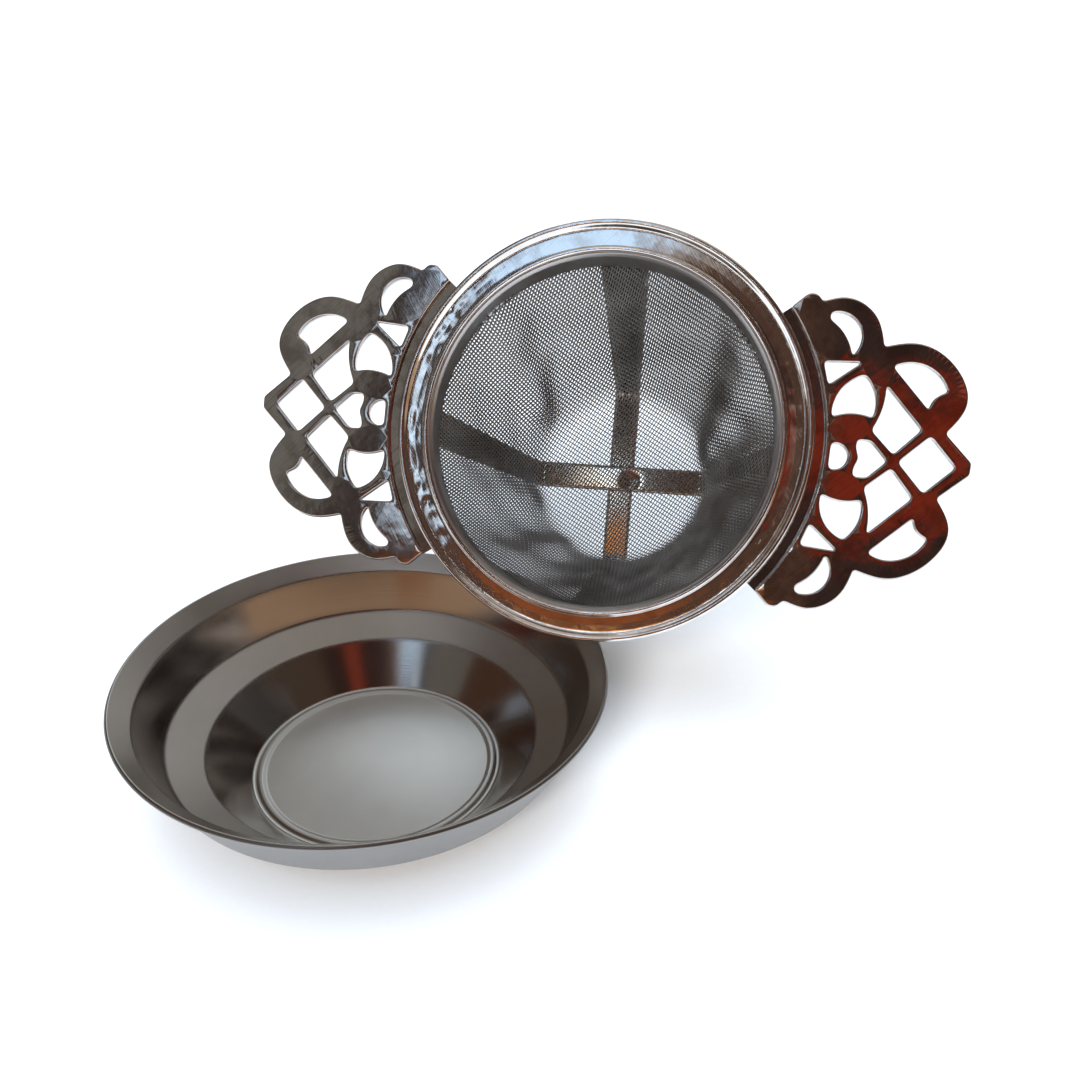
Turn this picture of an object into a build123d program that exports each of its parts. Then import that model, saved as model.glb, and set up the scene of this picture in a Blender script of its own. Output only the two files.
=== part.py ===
from build123d import *
import math
import os

# A two-eared tea strainer propped over its drip bowl, in millimetres, +Z up.
# The origin is the middle of the bowl's flat underside, and X runs along the strainer's ears.

# Drip bowl: inner radii, and how far each lies below the rim
bowl_wall = 0.8
rim_r = 42.1
lip_r, lip_depth = 39.1, 2.9
ledge_outer_r, ledge_outer_depth = 35.7, 11.1
ledge_inner_r, ledge_inner_depth = 29.9, 14.3
floor_r, floor_depth = 22.9, 22.2
bowl_bend_r = 1.4

# Where the strainer stands: the middle of its ring, and how far its mouth leans from level
ring_x, ring_y, ring_above_rim = 35.1, 32.2, 34.1
ring_lean_deg = 60.0

# Rim ring, by radius from its own middle; heights are above the plane of its outer bead
ring_r = 37.5
outer_bead_r = 0.8
inner_bead_r = 0.55
inner_bead_at = 32.5
flange_thick = 0.6
flange_top = -0.1
skirt_depth = 2.6
neck_r, neck_thick, neck_depth = 31.9, 0.6, 5.2

# Wire-mesh basket: its hem sits between the neck and the clamp ring
hem_r, hem_top = neck_r, -1.5
cloth_thick = 0.4
clamp_r = hem_r - cloth_thick
clamp_thick, clamp_top, clamp_bottom = 0.35, -0.6, -neck_depth
basket_depth = 26.0
basket_floor_r = 17.0
basket_lean_x, basket_lean_y = 2.5, -4.6
cross_turn_deg = 2.0

# Two crossed support straps under the basket
strap_thick = 0.5
strap_floor_width = 5.2
side_strap_top_width, upright_strap_top_width = 7.2, 9.8
strap_fold_r = basket_floor_r + 0.5
strap_gap = 0.15
strap_top_r, strap_top_height = 35.0, -3.0
weld_r, weld_thick = 1.3, 0.2

# Pierced ears: flat plates held to the ring by a bent root strip
ear_thick = 1.3
root_outer_r, root_plate_r = 40.3, 39.9
root_drop = 1.0
root_half_deg = 39.0
tip_round, hole_round = 1.3, 0.45

rim_height = floor_depth + bowl_wall
lean = math.radians(ring_lean_deg)
ring_middle = Vector(ring_x, ring_y, rim_height + ring_above_rim)
mouth = Plane(ring_middle, x_dir=(1, 0, 0), z_dir=(0, -math.sin(lean), math.cos(lean)))
ring_axis = Axis(mouth.origin, mouth.z_dir)
ear_mirror = Plane(mouth.origin, x_dir=mouth.y_dir, z_dir=mouth.x_dir)


def on_ring(x, y, height):
    """A point given in the strainer's own frame, in the part's frame."""
    return mouth.from_local_coords(Vector(x, y, height))


def section_at(turn_deg):
    """The half section of the ring at an angle from +X: x is the radius and y the height."""
    turn = math.radians(turn_deg)
    outward = mouth.x_dir * math.cos(turn) + mouth.y_dir * math.sin(turn)
    return Plane(mouth.origin, x_dir=outward, z_dir=outward.cross(mouth.z_dir))


def section_box(r_in, r_out, low, high):
    """A rectangle of the current ring section, from its two radii and two heights."""
    with Locations(((r_in + r_out) / 2, (low + high) / 2)):
        Rectangle(r_out - r_in, high - low)


# The cavity of the bowl as half a section: a flared lip, a steep wall, a sloping ledge and a well
with BuildSketch(Plane.XZ) as cavity:
    with BuildLine():
        FilletPolyline(
            (rim_r, rim_height),
            (lip_r, rim_height - lip_depth),
            (ledge_outer_r, rim_height - ledge_outer_depth),
            (ledge_inner_r, rim_height - ledge_inner_depth),
            (floor_r, rim_height - floor_depth),
            (0, rim_height - floor_depth),
            radius=bowl_bend_r,
        )
        Polyline((0, bowl_wall), (0, rim_height), (rim_r, rim_height))
    make_face()

with BuildPart() as drip_bowl:
    with BuildSketch(Plane.XZ) as bowl_shell:
        add(offset(cavity.sketch_local, amount=bowl_wall, mode=Mode.PRIVATE))
        add(cavity.sketch_local, mode=Mode.SUBTRACT)
        with Locations((0, rim_height)):
            Rectangle(4 * rim_r, 2 * rim_r, align=(Align.CENTER, Align.MIN), mode=Mode.SUBTRACT)
        Rectangle(rim_r, 4 * rim_height, align=(Align.MAX, Align.CENTER), mode=Mode.SUBTRACT)
    revolve(axis=Axis.Z)

# The ring is one pressed channel: outer bead and skirt, flange, inner bead and neck
with BuildPart() as rim_ring:
    with BuildSketch(section_at(0)) as channel:
        with Locations((ring_r - outer_bead_r, 0)):
            Circle(outer_bead_r)
        with Locations((inner_bead_at, flange_top)):
            Circle(inner_bead_r)
        section_box(inner_bead_at, ring_r - outer_bead_r, flange_top - flange_thick, flange_top)
        section_box(ring_r - outer_bead_r, ring_r, -skirt_depth, 0)
        section_box(neck_r, neck_r + neck_thick, -neck_depth, flange_top)
    revolve(axis=ring_axis)

with BuildPart() as clamp_ring:
    with BuildSketch(section_at(0)) as clamp_band:
        section_box(clamp_r - clamp_thick, clamp_r, clamp_bottom, clamp_top)
    revolve(axis=ring_axis)

# The basket's wall tapers to a flat floor that sits a little to one side of the ring's axis
with BuildPart() as mesh_basket:
    for inset in (0, cloth_thick):
        with BuildSketch(mouth.offset(-neck_depth)) as wall_top:
            Circle(hem_r - inset)
        with BuildSketch(mouth.offset(inset - basket_depth)) as wall_foot:
            with Locations((basket_lean_x, basket_lean_y)):
                Circle(basket_floor_r - inset)
        loft(mode=Mode.ADD if inset == 0 else Mode.SUBTRACT)
    with BuildSketch(mouth.offset(-neck_depth)) as hem:
        Circle(hem_r)
        Circle(hem_r - cloth_thick, mode=Mode.SUBTRACT)
    extrude(amount=hem_top + neck_depth)


def cross_strap(turn_deg, layer, top_width):
    """A flat strap along the basket's floor and up both walls, one layer under another."""
    top_of_strap = -basket_depth - strap_gap - layer * strap_thick
    with BuildPart() as strap:
        floor_plane = mouth.offset(top_of_strap - strap_thick)
        with BuildSketch(floor_plane):
            with Locations(Location((basket_lean_x, basket_lean_y, 0), turn_deg + cross_turn_deg)):
                Rectangle(2 * strap_fold_r, strap_floor_width)
        extrude(amount=strap_thick)
        for side in (0, 180):
            fold = math.radians(turn_deg + cross_turn_deg + side)
            end = math.radians(turn_deg + side)
            foot = on_ring(
                basket_lean_x + strap_fold_r * math.cos(fold),
                basket_lean_y + strap_fold_r * math.sin(fold),
                top_of_strap - strap_thick / 2,
            )
            head = on_ring(strap_top_r * math.cos(end), strap_top_r * math.sin(end), strap_top_height)
            width_way = mouth.x_dir * -math.sin(end) + mouth.y_dir * math.cos(end)
            along = Plane(foot, x_dir=width_way, z_dir=head - foot)
            with BuildSketch(along):
                Rectangle(strap_floor_width, strap_thick)
            with BuildSketch(along.offset((head - foot).length)):
                Rectangle(top_width, strap_thick)
            loft()
    return strap.part


with BuildPart() as side_to_side_strap:
    add(cross_strap(0, 0, side_strap_top_width))

with BuildPart() as top_to_bottom_strap:
    add(cross_strap(90, 1, upright_strap_top_width))

with BuildPart() as strap_weld:
    with BuildSketch(mouth.offset(-basket_depth - strap_gap - 2 * strap_thick - weld_thick)):
        with Locations((basket_lean_x, basket_lean_y)):
            Circle(weld_r)
    extrude(amount=weld_thick)

# The openings of one ear: eight above its middle line or on it, and five mirrored below
with BuildSketch() as ear_openings:
    with BuildSketch(mode=Mode.PRIVATE) as upper_openings:
        with BuildLine():
            Line((49.2, 16.1), (56.0, 9.4))
            ThreePointArc((56.0, 9.4), (56.9, 11.6), (58.8, 12.6))
            ThreePointArc((58.8, 12.6), (55.1, 16.4), (49.2, 16.1))
        make_face()
        with BuildLine():
            ThreePointArc((37.5, 24.2), (42.6, 22.3), (42.0, 17.4))
            ThreePointArc((42.0, 17.4), (40.2, 21.0), (37.5, 23.2))
            Line((37.5, 23.2), (37.5, 24.2))
        make_face()
        with BuildLine():
            Polyline((37.4, 15.9), (43.7, 16.3), (38.6, 12.2), close=True)
        make_face()
        with BuildLine():
            ThreePointArc((44.6, 14.2), (41.2, 11.8), (39.9, 6.8))
            ThreePointArc((39.9, 6.8), (43.2, 7.7), (46.8, 7.2))
            ThreePointArc((46.8, 7.2), (46.7, 11.0), (44.6, 14.2))
        make_face()
        with BuildLine():
            Polyline((48.5, 12.7), (55.3, 5.9), (51.1, 1.3), (47.0, 5.0))
            ThreePointArc((47.0, 5.0), (48.3, 8.6), (48.5, 12.7))
        make_face()
    add(upper_openings.sketch_local)
    mirror(upper_openings.sketch_local, about=Plane.XZ)
    with BuildLine():
        Polyline((57.0, 4.8), (61.8, 0), (57.0, -4.8), (52.2, 0), close=True)
    make_face()
    with BuildLine():
        Polyline((50.2, 0), (47.1, 3.1), (44.8, 3.1), (44.8, 1.8), (45.5, 0))
        mirror(about=Plane.XZ)
    make_face()
    with BuildLine():
        ThreePointArc((40.5, 2.1), (43.5, 0), (40.5, -2.1))
        Line((40.5, -2.1), (40.5, 2.1))
    make_face()
    fillet(ear_openings.vertices(), hole_round)

# One ear's plate: a pointed tip, then a large lobe and a small lobe each side
with BuildSketch(mouth.offset(-ear_thick)) as ear_plate:
    with BuildLine():
        Line((65.6, 0), (59.5, 5.6))
        Spline((59.5, 5.6), (62.3, 10.8), (58.9, 17.6), (52.6, 20.4), (47.2, 19.4))
        Spline((47.2, 19.4), (45.3, 24.2), (40.0, 27.1), (35.8, 26.2))
        Spline((35.8, 26.2), (34.7, 27.3), (33.2, 27.3))
        tab_corner = Vector(root_plate_r, 0).rotate(Axis.Z, root_half_deg)
        Line((33.2, 27.3), tab_corner)
        mirror(about=Plane.XZ)
        lower_corner = Vector(tab_corner.X, -tab_corner.Y)
        ThreePointArc(tab_corner, (root_plate_r, 0), lower_corner)
    make_face()
    fillet(ear_plate.vertices().sort_by(Axis.X)[-1], tip_round)
    add(ear_openings.sketch_local, mode=Mode.SUBTRACT)

# The root strip bends down from the plate's inner edge to the ring's skirt
with BuildPart() as right_ear:
    extrude(ear_plate.sketch, amount=ear_thick)
    with BuildSketch(section_at(-root_half_deg)):
        with BuildLine():
            Polyline(
                (ring_r, -root_drop - ear_thick),
                (ring_r, -root_drop),
                (root_outer_r, 0),
                (root_outer_r, -ear_thick),
                close=True,
            )
        make_face()
    revolve(axis=ring_axis, revolution_arc=2 * root_half_deg)

with BuildPart() as left_ear:
    mirror(right_ear.part, about=ear_mirror)

os.makedirs("parts", exist_ok=True)
for name, piece in (
    ("drip_bowl", drip_bowl),
    ("rim_ring", rim_ring),
    ("clamp_ring", clamp_ring),
    ("mesh_basket", mesh_basket),
    ("side_to_side_strap", side_to_side_strap),
    ("top_to_bottom_strap", top_to_bottom_strap),
    ("strap_weld", strap_weld),
    ("right_ear", right_ear),
    ("left_ear", left_ear),
):
    piece.part.label = name
    export_step(piece.part, f"parts/{name}.step")
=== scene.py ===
# %% [markdown]
# # A tea strainer tilted over its drip bowl
# The strainer is a pressed steel ring with a basket of woven wire, two crossed straps under the
# basket and a pierced ear on each side. It is held with its ring over the rim of a stepped bowl.
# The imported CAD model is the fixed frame: it says where every piece is and how large it may be.
# The looks are built around it here, in metres.

# %% Load the frame
import bmesh
import bpy
import math
import numpy as np
from mathutils import Matrix, Vector, noise
from mathutils.geometry import delaunay_2d_cdt


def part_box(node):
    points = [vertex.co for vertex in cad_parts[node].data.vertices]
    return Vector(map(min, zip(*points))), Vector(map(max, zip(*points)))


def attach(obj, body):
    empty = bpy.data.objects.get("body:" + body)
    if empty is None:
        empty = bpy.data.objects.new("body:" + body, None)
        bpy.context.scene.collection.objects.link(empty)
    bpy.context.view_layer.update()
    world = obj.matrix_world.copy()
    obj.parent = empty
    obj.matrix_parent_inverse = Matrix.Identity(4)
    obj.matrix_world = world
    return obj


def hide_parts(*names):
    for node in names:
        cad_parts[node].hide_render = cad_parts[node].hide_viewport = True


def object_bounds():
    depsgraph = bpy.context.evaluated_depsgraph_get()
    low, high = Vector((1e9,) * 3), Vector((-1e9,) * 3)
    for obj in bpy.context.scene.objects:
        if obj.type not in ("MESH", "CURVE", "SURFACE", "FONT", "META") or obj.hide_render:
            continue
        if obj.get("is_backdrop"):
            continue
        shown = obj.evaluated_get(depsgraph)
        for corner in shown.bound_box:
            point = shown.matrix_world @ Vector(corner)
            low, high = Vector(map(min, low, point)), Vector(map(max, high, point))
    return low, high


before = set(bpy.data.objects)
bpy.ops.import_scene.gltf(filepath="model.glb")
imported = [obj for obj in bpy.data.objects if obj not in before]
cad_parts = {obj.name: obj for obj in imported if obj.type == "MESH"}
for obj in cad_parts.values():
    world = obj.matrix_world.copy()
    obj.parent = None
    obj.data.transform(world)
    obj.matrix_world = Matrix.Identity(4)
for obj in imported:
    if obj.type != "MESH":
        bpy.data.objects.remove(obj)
cad_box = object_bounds()
MM = 0.001
print("CAD box, mm:", [[round(v / MM, 1) for v in corner] for corner in cad_box])

# %% [markdown]
# ## Where the strainer stands
# Everything on the strainer is round the axis of its ring, and that axis leans. It is far easier
# to build such pieces flat, with the axis as Z, and to place them all with one matrix. The matrix
# has the ring's own X, Y and Z directions as its columns and the ring's middle as its shift.

# %% The strainer's own frame
LEAN = math.radians(60)
RING_MIDDLE = Vector((35.1, 32.2, 57.1)) * MM
MOUTH = Matrix.Translation(RING_MIDDLE) @ Matrix.Rotation(LEAN, 4, "X")
ring_low, ring_high = (Vector(c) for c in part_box("rim_ring"))
print("ring box middle, mm:", [round(v / MM, 1) for v in (ring_low + ring_high) / 2])

# %% [markdown]
# ## The camera
# The camera comes first, because all the other choices are judged through it. It is aimed at the
# place where the ring meets the bowl's rim and stands off by a distance, a turn and a height. A
# near camera with a short lens makes the near side of the bowl larger, as a real close view does.
# The lens shift slides the view sideways and up without turning the camera.

# %% Camera
AIM = RING_MIDDLE + Vector((-1.2, -18.3, -34.2)) * MM
STAND_OFF = 0.162
TURN, HEIGHT, ROLL = math.radians(7.88), math.radians(34.44), math.radians(2.58)
FOCAL_SHARE = 875.2 / 1080
SENSOR = 36.0
SHIFT = (-0.0282, 0.098)

level = math.cos(HEIGHT)
forward = Vector((-math.sin(TURN) * level, math.cos(TURN) * level, -math.sin(HEIGHT)))
level_right = forward.cross(Vector((0, 0, 1))).normalized()
level_up = level_right.cross(forward)
right = level_right * math.cos(ROLL) + level_up * math.sin(ROLL)
up = right.cross(forward)
eye = AIM - forward * STAND_OFF
camera_data = bpy.data.cameras.new("camera")
camera_data.sensor_width = SENSOR
camera_data.lens = FOCAL_SHARE * SENSOR
camera_data.shift_x, camera_data.shift_y = SHIFT
camera_data.clip_start = 0.005
camera = bpy.data.objects.new("camera", camera_data)
camera.matrix_world = Matrix.Translation(eye) @ Matrix((right, up, -forward)).transposed().to_4x4()
bpy.context.scene.collection.objects.link(camera)
bpy.context.scene.camera = camera
print("eye, mm:", [round(v / MM, 1) for v in eye])

# %% [markdown]
# ## Shader maths as Python
# A node tree is a formula. Wrapping a socket in a small class lets the formula be written as one:
# `1 - mask * 0.5` adds the Math nodes by itself. Colours go through Mix nodes instead, because a
# Math node would turn them grey. Every other node comes from one method, which sets the node's
# own settings first, since some of them change which sockets it has.

# %% A socket that can be used in arithmetic
class Signal:
    def __init__(self, recipe, socket):
        self.recipe, self.socket = recipe, socket

    def maths(self, operation, *values):
        return self.recipe.node("ShaderNodeMath", {"operation": operation}, values)

    def __add__(self, other):
        return self.maths("ADD", self, other)

    def __radd__(self, other):
        return self.maths("ADD", other, self)

    def __sub__(self, other):
        return self.maths("SUBTRACT", self, other)

    def __rsub__(self, other):
        return self.maths("SUBTRACT", other, self)

    def __mul__(self, other):
        return self.maths("MULTIPLY", self, other)

    def __rmul__(self, other):
        return self.maths("MULTIPLY", other, self)

    def step(self, low, high):
        """0 below low, 1 above high and smooth between."""
        sockets = {"Value": self, "From Min": low, "From Max": high}
        return self.recipe.node("ShaderNodeMapRange", {"interpolation_type": "SMOOTHSTEP"}, sockets)

    def within(self, low, high, soft):
        """1 between low and high, and 0 outside, with soft edges."""
        return self.step(low - soft, low + soft) * (1 - self.step(high - soft, high + soft))


# %% [markdown]
# ## A recipe
# A material and the world are both node trees, so one class serves both. `place_on_ring` gives
# positions in the strainer's own flat frame, so that scratches and grain follow the piece rather
# than the ground it leans over.

# %% A recipe: one node tree, for a material or the world
class Recipe:
    def __init__(self, tree):
        self.tree = tree
        tree.nodes.clear()

    def node(self, kind, settings=None, sockets=(), output=0):
        made = self.tree.nodes.new(kind)
        for name, value in (settings or {}).items():
            setattr(made, name, value)
        pairs = sockets.items() if isinstance(sockets, dict) else enumerate(sockets)
        for key, value in pairs:
            if isinstance(value, Signal):
                self.tree.links.new(value.socket, made.inputs[key])
            else:
                made.inputs[key].default_value = value
        return Signal(self, made.outputs[output]) if made.outputs else None

    def place(self, output="Object"):
        return self.node("ShaderNodeTexCoord", output=output)

    def place_on_ring(self):
        """The point being shaded, measured from the ring's middle with its axis as Z."""
        back = MOUTH.inverted()
        turn = back.to_euler()
        sockets = {"Vector": self.place(), "Location": back.translation, "Rotation": turn}
        return self.node("ShaderNodeMapping", None, sockets)

    def parts(self, vector):
        split = self.node("ShaderNodeSeparateXYZ", None, [vector])
        return [Signal(self, socket) for socket in split.socket.node.outputs]

    def vector(self, *values):
        return self.node("ShaderNodeCombineXYZ", None, values)

    def mix(self, factor, first, second):
        colours = {"Factor": factor, 6: first, 7: second}
        return self.node("ShaderNodeMix", {"data_type": "RGBA"}, colours, output=2)

    def noise(self, vector, scale, detail=3.0, roughness=0.5):
        sockets = {"Vector": vector, "Scale": scale, "Detail": detail, "Roughness": roughness}
        return self.node("ShaderNodeTexNoise", None, sockets)

    def bump(self, height, distance, strength=1.0):
        sockets = {"Height": height, "Distance": distance, "Strength": strength}
        return self.node("ShaderNodeBump", None, sockets)


# %% [markdown]
# ## The white sheet
# The object stands on a plain white sheet, so that nothing but its own shadow is near it. The
# sheet is one large square of matt paper with a very faint grain. The helper that makes its mesh
# makes every other mesh here too, from a list of points and a list of faces.

# %% Meshes from code
def mesh_object(name, vertices, faces):
    mesh = bpy.data.meshes.new(name)
    mesh.from_pydata([tuple(v) for v in vertices], [], faces)
    mesh.shade_smooth()
    made = bpy.data.objects.new(name, mesh)
    bpy.context.scene.collection.objects.link(made)
    return made


# %% The white sheet
SHEET_REACH = 4.0
corners = [(x * SHEET_REACH, y * SHEET_REACH, 0.0) for x, y in ((-1, -1), (1, -1), (1, 1), (-1, 1))]
sheet = mesh_object("white_sheet", corners, [(0, 1, 2, 3)])
sheet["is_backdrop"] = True
print("sheet width, m:", sheet.dimensions.x)

# %% The sheet's paper
paper = bpy.data.materials.new("white_paper")
paper.use_nodes = True
recipe = Recipe(paper.node_tree)
grain = recipe.noise(recipe.place(), 900.0, 4.0)
tone = recipe.mix(grain, (0.86, 0.86, 0.87, 1), (0.9, 0.9, 0.9, 1))
shader = recipe.node("ShaderNodeBsdfPrincipled", None, {"Base Color": tone, "Roughness": 0.9})
recipe.node("ShaderNodeOutputMaterial", None, {"Surface": shader})
sheet.data.materials.append(paper)

# %% [markdown]
# ## The lamps
# Two distant lamps stand for a large soft box above and a fill from the camera's side. They make
# the sheet bright and cast the soft shadow, but are kept out of reflections, where two plain
# discs would look false.

# %% The lamps for the sheet
def sheet_lamp(name, turn, height, strength, spread_deg, colour):
    """A distant soft lamp, from a compass turn (0 is the camera's side) and a height."""
    data = bpy.data.lights.new(name, "SUN")
    data.energy, data.angle, data.color = strength, math.radians(spread_deg), colour
    made = bpy.data.objects.new(name, data)
    a, h = math.radians(turn), math.radians(height)
    towards = Vector((math.sin(a) * math.cos(h), -math.cos(a) * math.cos(h), math.sin(h)))
    made.rotation_euler = towards.to_track_quat("Z", "Y").to_euler()
    made.visible_glossy = False
    bpy.context.scene.collection.objects.link(made)


sheet_lamp("front_lamp", -5, 32, 2.6, 18, (1.0, 0.97, 0.93))
sheet_lamp("top_lamp", 10, 75, 3.3, 60, (0.76, 0.92, 1.08))

# %% [markdown]
# ## The room
# Polished steel has hardly any colour of its own: it shows the room. So the room matters more
# than the lamps. It is a dim warm space with a barred window high in front, a brown table edge
# low in front, a red cloth to the right and the sky behind. Each thing in it is a soft patch: a
# range of compass turns, a range of heights, the softness of its edges, all in degrees, and its
# light. A later patch covers an earlier one. The camera itself sees plain white instead.

# %% The room that the steel shows
world = bpy.data.worlds.new("room")
world.use_nodes = True
bpy.context.scene.world = world
recipe = Recipe(world.node_tree)
x, y, z = recipe.parts(recipe.place("Generated"))
compass = x.maths("ARCTAN2", x, 0 - y) * (180 / math.pi)
height = z.maths("ARCSINE", z) * (180 / math.pi)
ROOM = (0.085, 0.045, 0.030, 1)
ABOVE = (0.52, 0.46, 0.39, 1)
BEHIND = (0.50, 0.485, 0.46, 1)
PLAIN_WHITE = (1.02, 1.18, 1.36, 1)
PATCHES = {
    "right shade": ((9.5, 62), (19, 60), 2.0, (0.040, 0.024, 0.020, 1)),
    "right wall": ((62, 125), (22, 60), 8.0, (0.085, 0.06, 0.045, 1)),
    "right corner": ((120, 152), (8, 27), 4.0, (0.04, 0.03, 0.025, 1)),
    "table": ((-75, 112), (-4, 16), 3.0, (0.46, 0.31, 0.20, 1)),
    "table edge": ((-17, 2.5), (14, 28.5), 1.5, (0.24, 0.072, 0.026, 1)),
    "left wall": ((-62, -29), (20, 58), 2.0, (0.17, 0.16, 0.145, 1)),
    "left shade": ((-30, -23.3), (24, 54), 0.5, (0.055, 0.042, 0.038, 1)),
    "red cloth": ((10.5, 27), (33, 42), 1.5, (0.20, 0.026, 0.012, 1)),
    "red book": ((30, 42), (36, 60), 2.5, (0.27, 0.05, 0.028, 1)),
    "shelf": ((7, 9.8), (37, 41.5), 0.8, (0.30, 0.23, 0.19, 1)),
    "side window": ((-23.3, -17.5), (30.5, 47), 0.35, (0.86, 1.08, 1.32, 1)),
    "window": ((-23.3, -5.5), (44.5, 62), 0.8, (0.74, 1.00, 1.32, 1)),
    "window glow": ((-5.5, -1.5), (45, 60), 1.0, (0.44, 0.38, 0.33, 1)),
    "top bar": ((-23, -19.2), (43.5, 45.3), 0.4, (0.20, 0.15, 0.12, 1)),
    "middle bar": ((-24.5, -21.9), (39.2, 40.6), 0.4, (0.25, 0.21, 0.18, 1)),
    "bottom bar": ((-23, -19.6), (32.4, 33.7), 0.4, (0.16, 0.10, 0.07, 1)),
    "kettle": ((-8.6, -5.2), (34.6, 37.4), 0.4, (4.6, 5.6, 6.4, 1)),
    "copper pot": ((-8.2, -3.8), (31.0, 33.8), 0.4, (1.9, 0.80, 0.22, 1)),
    "back shade": ((-148, -112), (6, 46), 4.0, (0.15, 0.12, 0.10, 1)),
    "sky behind": ((-180, -154), (28, 60), 3.0, (0.98, 1.10, 1.18, 1)),
    "lamp behind": ((-166, -155), (28, 38.5), 1.5, (2.6, 2.9, 3.0, 1)),
}
faces_behind = compass.maths("ABSOLUTE", compass)
sky = recipe.mix(faces_behind.step(118, 136), ROOM, BEHIND)
for turns, heights, soft, light in PATCHES.values():
    patch = compass.within(*turns, soft) * height.within(*heights, soft)
    sky = recipe.mix(patch, sky, light)
sky = recipe.mix(height.step(60, 72), sky, ABOVE)
seen = recipe.node("ShaderNodeLightPath")
sky = recipe.mix(seen, sky, PLAIN_WHITE)
background = recipe.node("ShaderNodeBackground", None, {"Color": sky, "Strength": 1.0})
recipe.node("ShaderNodeOutputWorld", None, {"Surface": background})
bpy.context.scene.view_settings.view_transform = "Standard"
print("patches in the room:", ", ".join(PATCHES))

# %% [markdown]
# ## Turned shapes
# The bowl, the ring and the clamp are all sheet steel worked round an axis: spun or pressed. Such
# a piece is a section turned round the axis. The section is given as corners, each with the radius
# of its bend, because sheet steel never has a sharp corner, and a bend is what catches the light.

# %% Bends, sections and turning
def bent(corners):
    """A closed section from (radius, height, bend) corners, with each corner rounded."""
    count = len(corners)
    points = []
    for i, (x, y, bend) in enumerate(corners):
        here = Vector((x, y))
        before = Vector(corners[i - 1][:2]) - here
        after = Vector(corners[(i + 1) % count][:2]) - here
        turn = math.pi - before.angle(after)
        if bend == 0 or turn < 0.01:
            points.append(tuple(here))
            continue
        reach = min(bend * math.tan(turn / 2), 0.49 * before.length, 0.49 * after.length)
        start, end = here + before.normalized() * reach, here + after.normalized() * reach
        steps = max(3, round(turn / math.radians(11)))
        for k in range(steps + 1):
            t = k / steps
            weight = 2 * t * (1 - t) * math.cos(turn / 2)
            mixed = start * (1 - t) ** 2 + here * weight + end * t**2
            points.append(tuple(mixed / ((1 - t) ** 2 + weight + t**2)))
    return points


def turned(name, section, segments, arc=None):
    """Turns a closed section round the axis, wholly or over an arc of (from, to) degrees."""
    low, high = arc or (0, 360)
    columns = segments if arc is None else segments + 1
    vertices = []
    for i in range(columns):
        a = math.radians(low + (high - low) * i / segments)
        vertices += [(r * math.cos(a) * MM, r * math.sin(a) * MM, h * MM) for r, h in section]
    n = len(section)
    faces = []
    for i in range(segments):
        j = (i + 1) % columns
        faces += [(i * n + k, j * n + k, j * n + (k + 1) % n, i * n + (k + 1) % n) for k in range(n)]
    if arc:
        faces += [tuple(range(n)), tuple(range((columns - 1) * n, columns * n))]
    made = mesh_object(name, vertices, faces)
    tidy_normals(made)
    return made


def tidy_normals(made, sharp_deg=40):
    """Points all faces outwards, and keeps flat faces flat beside rounded edges."""
    shape = bmesh.new()
    shape.from_mesh(made.data)
    bmesh.ops.remove_doubles(shape, verts=shape.verts, dist=1e-7)
    bmesh.ops.recalc_face_normals(shape, faces=shape.faces)
    shape.to_mesh(made.data)
    shape.free()
    made.data.shade_smooth()
    made.data.set_sharp_from_angle(angle=math.radians(sharp_deg))
    even = made.modifiers.new("even_normals", "WEIGHTED_NORMAL")
    even.keep_sharp = True
    even.weight = 100


def mark_outside(piece):
    """Gives the second material to faces that look away from the axis or down."""
    for face in piece.data.polygons:
        away = Vector((face.center.x, face.center.y, 0)).normalized()
        if face.normal.dot(away) > 0.3 or face.normal.z < -0.3:
            face.material_index = 1


def settle(piece, body, slot, *nodes):
    """What each piece says: the body it moves with and the solids it stands for. Its finish, slot,
    is not used.
    The strainer's pieces are made flat, and this is where they take their place."""
    if body == "strainer":
        piece.data.transform(MOUTH)
    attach(piece, body)
    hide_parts(*nodes)
    print(piece.name, "has", len(piece.data.polygons), "faces")


# %% [markdown]
# ## The drip bowl
# The bowl is spun from a disc of steel: a flat floor, a steep well, a sloping ledge that catches
# the strainer's basket, a steep wall and a flared lip. A shallow bead pressed into the floor's
# edge stiffens it. Its inside is listed corner by corner, and the outside is the same line moved
# out by the thickness of the steel.

# %% Bowl section
BOWL_WALL = 0.8
BOWL_BEND = 1.4
BOWL_INSIDE = [
    (0, 0.8, 0),
    (20.5, 0.8, 0.6),
    (21.2, 1.05, 0.5),
    (21.8, 1.05, 0.5),
    (22.3, 0.8, 0.3),
    (22.9, 0.8, BOWL_BEND),
    (29.9, 8.7, BOWL_BEND),
    (35.7, 11.9, BOWL_BEND),
    (39.1, 20.1, BOWL_BEND),
    (42.1, 23.0, 0.3),
]
BOWL_PLAIN = [BOWL_INSIDE[0], *BOWL_INSIDE[5:]]


def moved_out(corners, wall):
    """The outer side of a sheet, from the corners of its inner side, last corner first."""
    outer = []
    for i, (x, y, bend) in enumerate(corners):
        normals = []
        for a, b in ((i - 1, i), (i, i + 1)):
            if 0 <= a and b < len(corners):
                way = Vector((corners[b][0] - corners[a][0], corners[b][1] - corners[a][1]))
                normals.append(Vector((way.y, -way.x)).normalized())
        half = sum(normals, Vector((0, 0))).normalized()
        shift = half * (wall / half.dot(normals[0]))
        outer.append((max(x + shift.x, 0), y + shift.y, bend))
    return outer[::-1]


bowl = turned("drip_bowl_steel", bent(BOWL_INSIDE + moved_out(BOWL_PLAIN, BOWL_WALL)), 288)
print("bowl width, mm:", round(bowl.dimensions.x / MM, 2))

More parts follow.
